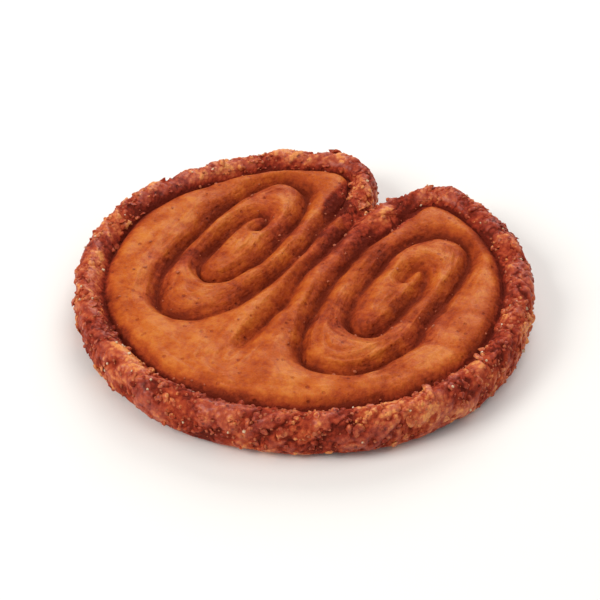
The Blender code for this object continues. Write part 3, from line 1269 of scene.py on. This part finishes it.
def grain_group() -> bpy.types.NodeTree:
    """The fine grain of baked, sugared dough: packed grains of two sizes, and pores.

    Returns:
        A group with Strength, Distance and Normal inputs, a Normal output, a Gaps output that is
        1 between the larger grains and a Pits output that is 1 in open pores, both painted shade
        for the colour.
    """
    nodes = new_group("fine_grain",
                      {"Strength": "Float", "Distance": "Float", "Normal": "Vector"},
                      {"Normal": "Vector", "Gap Shade": "Float", "Pit Shade": "Float"})
    given = nodes.add("NodeGroupInput")
    place = nodes.add("ShaderNodeTexCoord").outputs["Object"]
    large, small = (
        nodes.add("ShaderNodeTexVoronoi", {"feature": "SMOOTH_F1"}, Vector=place, Scale=scale,
                  Smoothness=0.35).outputs["Distance"] for scale in (1250.0, 2900.0))
    pores = nodes.add("ShaderNodeTexNoise", {}, Vector=place, Scale=3800.0, Detail=5.0,
                      Roughness=0.6)
    height = nodes.maths("SUBTRACT", pores.outputs[0], nodes.maths("MULTIPLY", small, 0.5))
    height = nodes.maths("SUBTRACT", height, nodes.maths("MULTIPLY", large, 1.1))
    cells = nodes.add("ShaderNodeTexVoronoi", {}, Vector=place, Scale=620.0)
    chance = nodes.add("ShaderNodeSeparateColor", {}, Color=cells.outputs["Color"]).outputs[0]
    pits = nodes.maths("MULTIPLY", nodes.span(chance, 0.60, 0.64),
                       nodes.span(cells.outputs["Distance"], 0.26, 0.10))
    height = nodes.maths("SUBTRACT", height, nodes.maths("MULTIPLY", pits, 1.6))
    bump = nodes.add("ShaderNodeBump", {}, Height=height, Strength=given.outputs["Strength"],
                     Distance=given.outputs["Distance"], Normal=given.outputs["Normal"])
    result = nodes.add("NodeGroupOutput")
    nodes.feed(result.inputs["Normal"], bump.outputs[0])
    # Painted shade between the larger grains, for the colour.
    nodes.feed(result.inputs["Gap Shade"], nodes.span(large, 0.25, 0.75))
    # Painted shade in the pores, for the colour.
    nodes.feed(result.inputs["Pit Shade"], pits)
    return nodes.tree


def layer_group() -> bpy.types.NodeTree:
    """The thin layers of folded dough: streaks that run beside the grooves.

    Noise is read at the distance to the groove, many times magnified, and at the place.

    Returns:
        A group with an output Layers, from 0 to 1.
    """
    nodes = new_group("folded_layers", {}, {"Layers": "Float"})
    gap = nodes.add("ShaderNodeAttribute", {"attribute_name": "gap"}).outputs["Fac"]
    place = nodes.add("ShaderNodeTexCoord").outputs["Object"]
    parts = nodes.add("ShaderNodeSeparateXYZ", {}, Vector=place)
    sheet = nodes.add(
        "ShaderNodeCombineXYZ", {}, X=nodes.maths("MULTIPLY", gap, 2600.0),
        Y=nodes.maths("MULTIPLY", parts.outputs["X"], 420.0),
        Z=nodes.maths("MULTIPLY", parts.outputs["Y"], 420.0))
    noise = nodes.add("ShaderNodeTexNoise", {}, Vector=sheet.outputs[0], Scale=1.0, Detail=3.0,
                      Roughness=0.55)
    result = nodes.add("NodeGroupOutput")
    nodes.feed(result.inputs["Layers"], nodes.span(noise.outputs[0], 0.34, 0.66))
    return nodes.tree


class Bake(Enum):
    """How far a part of the pastry is baked."""

    RIM = "rim"
    FACE = "face"
    UNDERSIDE = "underside"


# Colour ramps read at the baked value: their light end is a painted highlight on raised places
# and their dark end painted shade in hollows and creases, mixed with real uneven browning.
CRUST_STOPS: Stops = (
    (0.00, (226, 142, 76)), (0.14, (205, 108, 61)), (0.34, (179, 74, 42)),
    (0.60, (148, 49, 29)), (0.92, (102, 30, 17)),
)
FACE_STOPS: Stops = (
    (0.06, (203, 115, 42)), (0.36, (184, 86, 27)), (0.64, (158, 62, 22)), (0.94, (116, 38, 14)),
)
PALE_STOPS: Stops = (
    (0.06, (212, 144, 84)), (0.36, (194, 112, 56)), (0.64, (166, 82, 40)), (0.94, (116, 46, 22)),
)


@dataclass(frozen=True)
class CrustFinish:
    """Browned, sugared crust, with painted shade in its hollows and a golden painted highlight
    where it stands out.
    """

    bake: Bake
    groups: dict[str, bpy.types.NodeTree]
    smooth_stops: Stops = FACE_STOPS
    roughness: float = 0.50
    grain: float = 0.5
    grain_height: float = 0.12 * MM
    shine: float = 0.09
    coat: float = 0.0
    coat_roughness: float = 0.34
    ridge_height: float = 0.16 * MM
    start: float = -0.25
    glow: float = 0.10
    glow_reach: tuple[float, float, float] = (1.0, 0.45, 0.15)
    glow_size: float = 1.2 * MM

    def colour(self, nodes: Nodes, masks: dict[str, bpy.types.NodeSocket]
               ) -> bpy.types.NodeSocket:
        """The crust's colour: painted shade darkens each place as it is sunk, creased, between
        grains or in a pore, and real uneven browning and layer streaks vary it.

        Args:
            nodes: the material's nodes.
            masks: the piece's masks by name.

        Returns:
            The colour for the shader's base.
        """
        mottle = nodes.add("ShaderNodeGroup", {"node_tree": self.groups["mottle"]}, Scale=1.0)
        streaks = nodes.add("ShaderNodeGroup", {"node_tree": self.groups["layers"]}).outputs[0]
        grain = nodes.add("ShaderNodeGroup", {"node_tree": self.groups["grain"]}).outputs
        # Painted shade from the relief, the creases, the grain gaps and the pores, with real
        # mottled browning and layer streaks.
        parts = (
            (masks["shade_and_tone"], 1.0), (mottle.outputs["Patches"], 0.17),
            (mottle.outputs["Specks"], 0.21), (masks["crease"], 0.60),
            (nodes.maths("MULTIPLY", streaks, masks["core"]), 0.08), (streaks, 0.03),
            (nodes.maths("MULTIPLY", grain["Gap Shade"], masks["rim"]), 0.22), (grain["Pit Shade"], 0.24),
        )
        baked = self.start
        for value, share in parts:
            baked = nodes.maths("ADD", baked, nodes.maths("MULTIPLY", value, share))
        uneven = nodes.maths("SUBTRACT", mottle.outputs["Patches"], 0.5)
        uneven = nodes.maths("MULTIPLY", uneven, masks["rim"])
        baked = nodes.maths("ADD", baked, nodes.maths("MULTIPLY", uneven, 0.26))
        smooth = nodes.ramp(baked, self.smooth_stops)
        rough = nodes.ramp(baked, CRUST_STOPS)
        return nodes.mix(masks["rim"], smooth, rough)

    def material(self) -> bpy.types.Material:
        """Make the material of the crust, its masks read by name from the piece.

        Returns:
            The material.
        """
        material, nodes, shader = new_material(f"baked_{self.bake.value}")
        masks = {name: nodes.add("ShaderNodeAttribute", {"attribute_name": name}).outputs["Fac"]
                 for name in ("rim", "shade_and_tone", "crease", "core")}
        nodes.feed(shader.inputs["Base Color"], self.colour(nodes, masks))
        crusty = nodes.maths("MULTIPLY", masks["rim"], 0.16)
        creased = nodes.maths("MULTIPLY", masks["crease"], 0.30)
        sunk = nodes.maths("MULTIPLY", masks["shade_and_tone"], 0.22)
        rough = nodes.maths("ADD", nodes.maths("ADD", crusty, creased), self.roughness)
        nodes.feed(shader.inputs["Roughness"], nodes.maths("ADD", rough, sunk, clamp=True))
        shader.inputs["Specular IOR Level"].default_value = self.shine
        raised = nodes.span(masks["shade_and_tone"], 0.55, 0.25, 0.0, self.coat)
        nodes.feed(shader.inputs["Coat Weight"],
                   nodes.maths("MULTIPLY", raised, nodes.span(masks["crease"], 0.3, 0.0)))
        shader.inputs["Coat Roughness"].default_value = self.coat_roughness
        shader.inputs["Subsurface Weight"].default_value = self.glow
        shader.inputs["Subsurface Radius"].default_value = self.glow_reach
        shader.inputs["Subsurface Scale"].default_value = self.glow_size
        streaks = nodes.add("ShaderNodeGroup", {"node_tree": self.groups["layers"]}).outputs[0]
        depth = nodes.maths("ADD", nodes.maths("MULTIPLY", masks["core"], 0.35), 0.15)
        ridges = nodes.add("ShaderNodeBump", {}, Strength=0.8, Distance=self.ridge_height,
                           Height=nodes.maths("MULTIPLY", streaks, depth))
        bump = nodes.add("ShaderNodeGroup", {"node_tree": self.groups["grain"]},
                         Strength=self.grain, Distance=self.grain_height,
                         Normal=ridges.outputs[0])
        nodes.feed(shader.inputs["Normal"], bump.outputs["Normal"])
        return material


@dataclass(frozen=True)
class SugarFinish:
    """Sugar: clear where it has not melted, amber where it has."""

    name: str
    colour: tuple[int, int, int]
    clear: float
    roughness: float = 0.18

    def material(self) -> bpy.types.Material:
        """Make the material of the sugar, a little cloudy.

        Returns:
            The material.
        """
        material, nodes, shader = new_material(self.name)
        place = nodes.add("ShaderNodeTexCoord").outputs["Object"]
        cloud = nodes.add("ShaderNodeTexNoise", {}, Vector=place, Scale=1500.0, Detail=2.0)
        darker = tuple(int(value * 0.8) for value in self.colour)
        nodes.feed(shader.inputs["Base Color"],
                   nodes.mix(cloud.outputs[0], srgb(*self.colour), srgb(*darker)))
        nodes.feed(shader.inputs["Roughness"],
                   nodes.span(cloud.outputs[0], 0.3, 0.7, self.roughness, self.roughness + 0.2))
        shader.inputs["Transmission Weight"].default_value = self.clear
        shader.inputs["IOR"].default_value = 1.5
        return material


@dataclass(frozen=True)
class FloorFinish:
    """The plain pale floor."""

    colour: tuple[int, int, int] = (238, 237, 235)

    def material(self) -> bpy.types.Material:
        """Make the material of the floor.

        Returns:
            The material.
        """
        material, _, shader = new_material("pale_floor")
        shader.inputs["Base Color"].default_value = srgb(*self.colour)
        shader.inputs["Roughness"].default_value = 0.85
        return material


@dataclass
class Palmier:
    """The whole pastry."""

    dough: Dough = field(default_factory=Dough)

    def build(self) -> list[bpy.types.Object]:
        """Build and dress every piece, and tie it to the frame.

        Returns:
            The seven pieces.
        """
        groups = {"mottle": mottle_group(), "grain": grain_group(), "layers": layer_group()}
        rim, rim_skin = Rim(self.dough).build()
        face, face_skin = Face(self.dough).build()
        underside = Underside(self.dough).build()
        crust = CrustFinish(Bake.RIM, groups, roughness=0.40, grain=0.9,
                            grain_height=0.22 * MM, coat=0.45).material()
        smooth = CrustFinish(Bake.FACE, groups, roughness=0.38, grain=0.8,
                             grain_height=0.17 * MM, coat=0.16).material()
        pale = CrustFinish(Bake.UNDERSIDE, groups, smooth_stops=PALE_STOPS).material()
        clear = SugarFinish("clear_sugar", (236, 200, 160), 0.10).material()
        amber = SugarFinish("amber_sugar", (190, 88, 40), 0.10, roughness=0.42).material()
        finishes = {rim: crust, face: smooth, underside: pale}
        finishes.update(self.bits(rim_skin, face_skin, crust, clear, amber))
        for piece, finish in finishes.items():
            piece.data.materials.append(finish)
            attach(piece, BODY)
            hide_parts(NODE)
            LOG.info("%s: %d faces", piece.name, len(piece.data.polygons))
        return list(finishes)

    def bits(self, rim: Skin, face: Skin, crust: bpy.types.Material, clear: bpy.types.Material,
             amber: bpy.types.Material) -> dict[bpy.types.Object, bpy.types.Material]:
        """Scatter crumbs, flakes and sugar over the crust.

        Args:
            rim: the rim's skin.
            face: the face's skin.
            crust: the rim's material.
            clear: unmelted sugar.
            amber: melted sugar.

        Returns:
            The new pieces and their materials.
        """
        both = Skin(*(np.concatenate(pair) for pair in (
            (rim.points, face.points), (rim.normals, face.normals),
            (rim.weight, 0.4 * face.weight))))
        crumbs = Scatter("crust_crumbs", 600, 0.6 * MM, 1.6 * MM, -0.10, 0.55, 7)
        flakes = Scatter("crust_flakes", 130, 0.9 * MM, 2.2 * MM, 0.0, 0.6, 8)
        melted = Scatter("melted_sugar", 900, 0.25 * MM, 0.70 * MM, 0.05, 0.3, 9)
        grains = Scatter("sugar_grains", 80, 0.28 * MM, 0.46 * MM, 0.2, 0.05, 10, smooth=False)
        return {
            crumbs.lay(lump_form(0.75, 0.1), rim): crust,
            flakes.lay(lump_form(0.16, 0.3), rim): crust,
            melted.lay(lump_form(0.8, 0.0), both): amber,
            grains.lay(crystal_form(), rim): clear,
        }


@dataclass(frozen=True)
class Lamp:
    """A soft square light that faces the pastry."""

    name: str
    place: tuple[float, float, float]
    size: float
    power: float
    colour: tuple[float, float, float]

    def add(self) -> None:
        """Add the light to the scene."""
        lamp = bpy.data.lights.new(self.name, "AREA")
        lamp.size = self.size
        lamp.energy = self.power
        lamp.color = self.colour
        holder = bpy.data.objects.new(self.name, lamp)
        holder.location = self.place
        holder.rotation_euler = facing(-Vector(self.place))
        bpy.context.scene.collection.objects.link(holder)


def facing(direction: Vector) -> Euler:
    """Return the turn of a light or camera that looks in a direction, with its top up."""
    return direction.to_track_quat("-Z", "Y").to_euler()


@dataclass
class Studio:
    """The floor, the soft lights and the camera."""

    view: tuple[float, float, float] = (0.40, -0.67, 0.62)
    aim_height: float = 3.0 * MM
    distance: float = 0.305
    lens: float = 104.0
    floor_half: float = 2.0
    floor_height: float = -0.05 * MM
    sky_colour: tuple[float, float, float, float] = (1.0, 0.985, 0.965, 1.0)
    sky_strength: float = 0.40
    lamps: tuple[Lamp, ...] = (
        Lamp("key_light", (-0.42, -0.62, 0.62), 0.45, 5.8, (1.0, 0.965, 0.92)),
        Lamp("back_light", (-0.25, 0.75, 0.60), 0.60, 4.5, (1.0, 0.97, 0.94)),
        Lamp("top_light", (0.35, 0.10, 0.95), 0.90, 3.6, (1.0, 0.985, 0.97)),
    )

    def build(self) -> None:
        """Set everything up."""
        self.floor()
        self.lights()
        self.camera()
        bpy.context.scene.view_settings.view_transform = "Standard"

    def floor(self) -> None:
        """Lay the floor just below the pastry."""
        half = self.floor_half
        corners = np.array([[-half, -half], [half, -half], [half, half], [-half, half]])
        points = np.column_stack([corners, np.full(4, self.floor_height)])
        floor = make_piece("floor", points, [np.array([[0, 1, 2, 3]])], {})
        floor.data.materials.append(FloorFinish().material())

    def lights(self) -> None:
        """Place a large key light over the fold end, two fill lights and a dim sky."""
        for lamp in self.lamps:
            lamp.add()
        world = bpy.data.worlds.new("soft_sky")
        world.use_nodes = True
        sky = world.node_tree.nodes["Background"]
        sky.inputs["Color"].default_value = self.sky_colour
        sky.inputs["Strength"].default_value = self.sky_strength
        bpy.context.scene.world = world

    def camera(self) -> None:
        """Look at the pastry from the direction in which the photograph shows its face."""
        camera = bpy.data.cameras.new("camera")
        camera.lens = self.lens
        camera.clip_start = 0.01
        holder = bpy.data.objects.new("camera", camera)
        away = Vector(self.view).normalized()
        holder.location = Vector((0.0, 0.0, self.aim_height)) + away * self.distance
        holder.rotation_euler = facing(-away)
        bpy.context.scene.collection.objects.link(holder)
        bpy.context.scene.camera = holder


def main() -> None:
    """Build the pastry and the studio."""
    Palmier().build()
    Studio().build()


if __name__ == "__main__":
    main()
